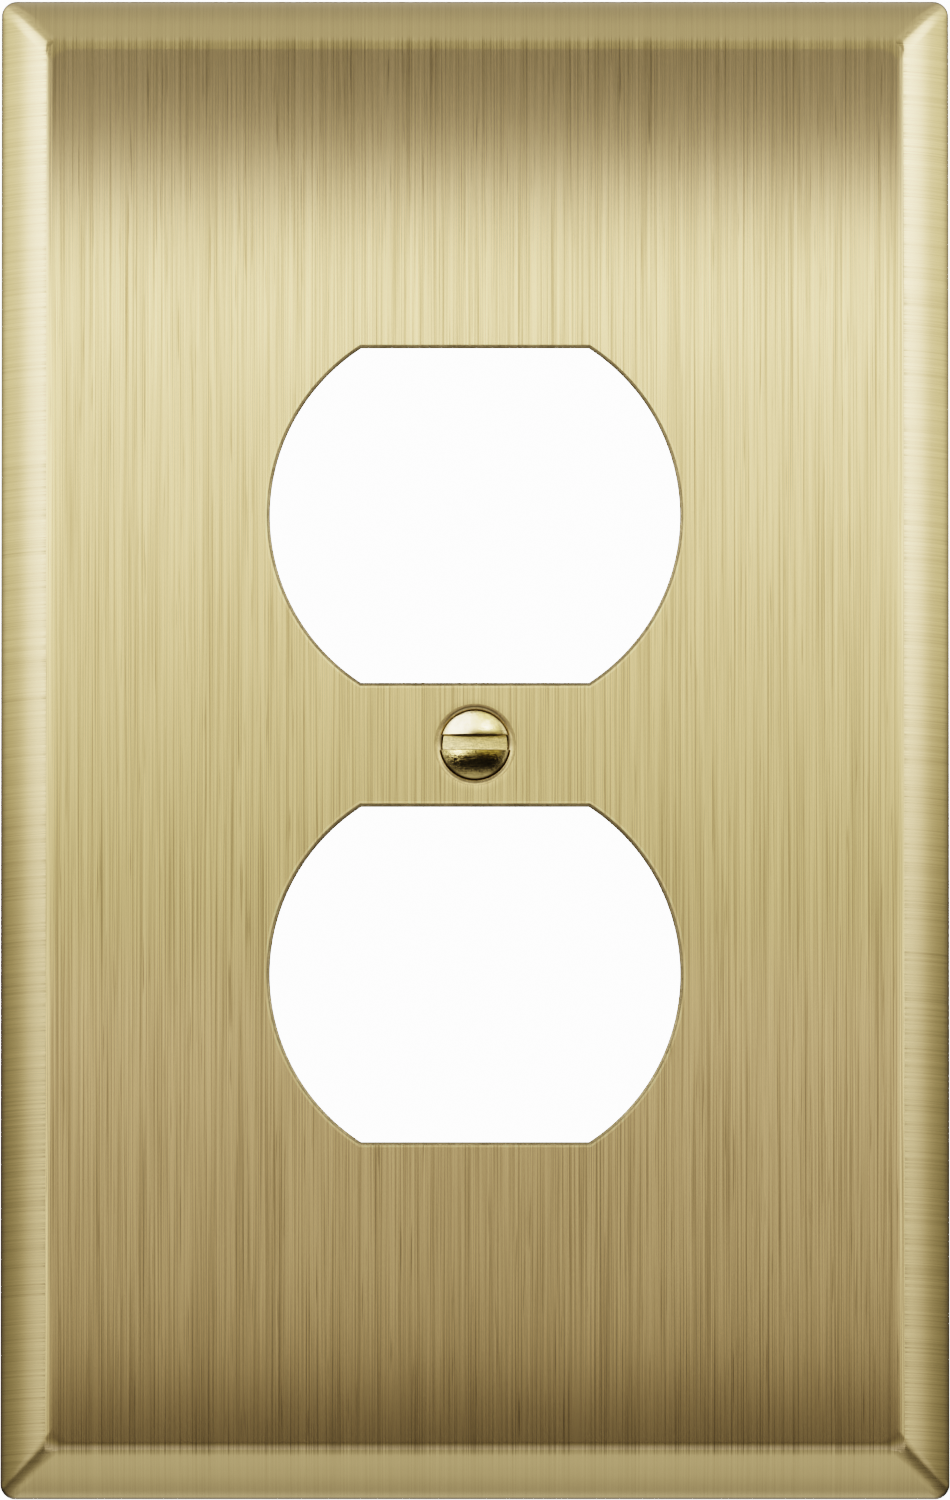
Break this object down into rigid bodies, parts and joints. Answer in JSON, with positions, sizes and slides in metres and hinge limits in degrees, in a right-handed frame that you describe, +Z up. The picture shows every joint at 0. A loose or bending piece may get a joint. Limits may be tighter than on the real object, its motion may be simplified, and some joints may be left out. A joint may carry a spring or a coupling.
{
  "type": "duplex receptacle wall plate",
  "caption": "Brushed brass cover for a duplex receptacle: shallow tray with sloping sides, flat-topped round openings and a captive slotted oval-head screw.",
  "frame": {"origin": "where the screw's axis crosses the wall plane, which is the plane of the cover's back rim; also the middle of the cover's outline", "axes": "+Z up along the cover's long side, +X to the right seen from the front, +Y into the wall along the screw, so the face looks along -Y"},
  "size_m": [0.0804, 0.0135, 0.1272],
  "materials": {
    "brushed_brass": "satin",
    "polished_brass": "polished",
    "red_fibre": "matte"
  },
  "bodies": {
    "plate": {"cover_plate": "brushed_brass"},
    "washer": {"screw_retaining_washer": "red_fibre"},
    "screw": {"mounting_screw": "polished_brass"}
  },
  "joints": [
    {"name": "screw_travel", "type": "slide", "parent": "plate", "child": "washer", "axis": [0, -1, 0], "range_m": [0, 0.0017]},
    {"name": "screw_turn", "type": "hinge", "parent": "washer", "child": "screw", "pos_m": [0, 0, 0], "axis": [0, -1, 0], "continuous": true}
  ]
}
